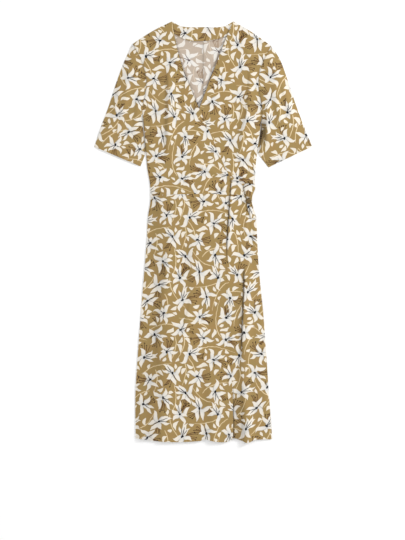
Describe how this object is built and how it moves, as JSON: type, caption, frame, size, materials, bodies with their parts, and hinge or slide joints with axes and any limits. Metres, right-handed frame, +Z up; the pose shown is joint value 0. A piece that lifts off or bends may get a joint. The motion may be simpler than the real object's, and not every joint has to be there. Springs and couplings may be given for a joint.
{
  "type": "wrap dress",
  "caption": "Midi wrap dress laid flat, with a crossed V neck, elbow sleeves, a side tie and a gently flared wrap skirt in a lily print.",
  "frame": {"origin": "centre of the dress's box in X and Y, on the surface that it lies on", "axes": "+Y from the hem to the neck, +Z up out of the front of the dress, +X towards the wearer's left sleeve"},
  "size_m": [0.6226, 1.204, 0.0111],
  "materials": {
    "printed_cloth": "tan woven viscose with a cream lily print, matt, paler on its reverse",
    "sewing_thread": "tan polyester thread, matt"
  },
  "bodies": {
    "root": {"back_bodice_left": "printed_cloth", "back_bodice_right": "printed_cloth", "back_skirt": "printed_cloth", "back_neck_facing": "printed_cloth", "front_bodice_over": "printed_cloth", "front_bodice_under": "printed_cloth", "front_skirt_over": "printed_cloth", "front_skirt_under": "printed_cloth", "sleeve_left": "printed_cloth", "sleeve_right": "printed_cloth", "tie_strap": "printed_cloth", "tie_loop": "printed_cloth", "tie_end": "printed_cloth", "tie_knot": "printed_cloth"}
  },
  "joints": []
}
